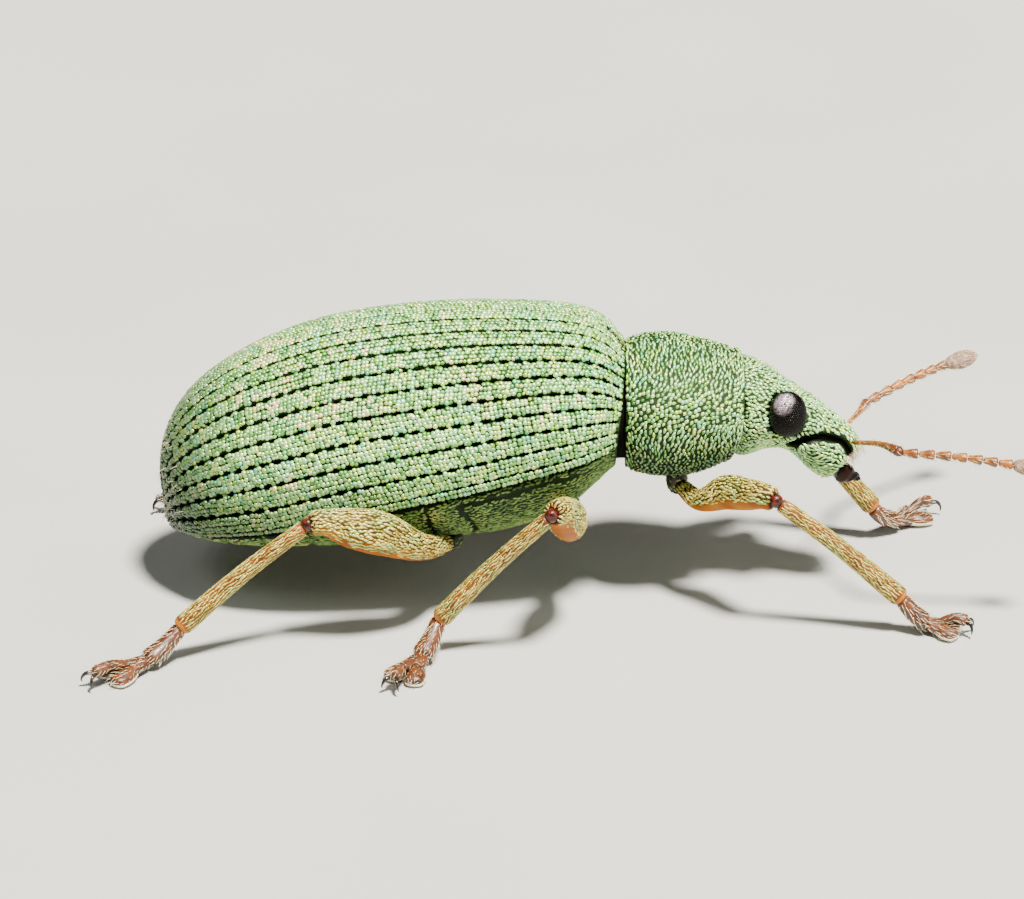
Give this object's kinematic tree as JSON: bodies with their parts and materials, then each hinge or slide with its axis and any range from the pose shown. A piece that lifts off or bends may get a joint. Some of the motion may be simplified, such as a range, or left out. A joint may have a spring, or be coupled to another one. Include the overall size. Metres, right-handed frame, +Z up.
{
  "type": "leaf weevil model",
  "caption": "Life-size still model of a green leaf weevil standing on its feet, with striated wing covers, elbowed feelers and lobed tarsi.",
  "frame": {"origin": "on the floor under the middle of the animal's box", "axes": "+X towards the head, +Y towards the animal's left side, +Z up from the floor"},
  "size_m": [0.0114, 0.0066, 0.0035],
  "materials": {
    "cover": "metallic green scales",
    "body": "dark cuticle with green scales",
    "scutellum": "dark cuticle",
    "eye": "glossy facets",
    "mandible": "glossy dark horn",
    "feeler": "satin reddish horn",
    "leg": "satin amber horn with pale scales",
    "foot": "satin brown horn with pale hairs"
  },
  "bodies": {
    "root": {"club_left": "feeler", "club_right": "feeler", "elytron_left": "cover", "elytron_right": "cover", "eye_left": "eye", "eye_right": "eye", "femur_front_left": "leg", "femur_front_right": "leg", "femur_hind_left": "leg", "femur_hind_right": "leg", "femur_mid_left": "leg", "femur_mid_right": "leg", "funicle_left": "feeler", "funicle_right": "feeler", "head": "body", "hindbody": "body", "mandible_left": "mandible", "mandible_right": "mandible", "prothorax": "body", "scape_left": "feeler", "scape_right": "feeler", "scutellum": "scutellum", "tarsus_front_left": "foot", "tarsus_front_right": "foot", "tarsus_hind_left": "foot", "tarsus_hind_right": "foot", "tarsus_mid_left": "foot", "tarsus_mid_right": "foot", "tibia_front_left": "leg", "tibia_front_right": "leg", "tibia_hind_left": "leg", "tibia_hind_right": "leg", "tibia_mid_left": "leg", "tibia_mid_right": "leg"}
  },
  "joints": []
}
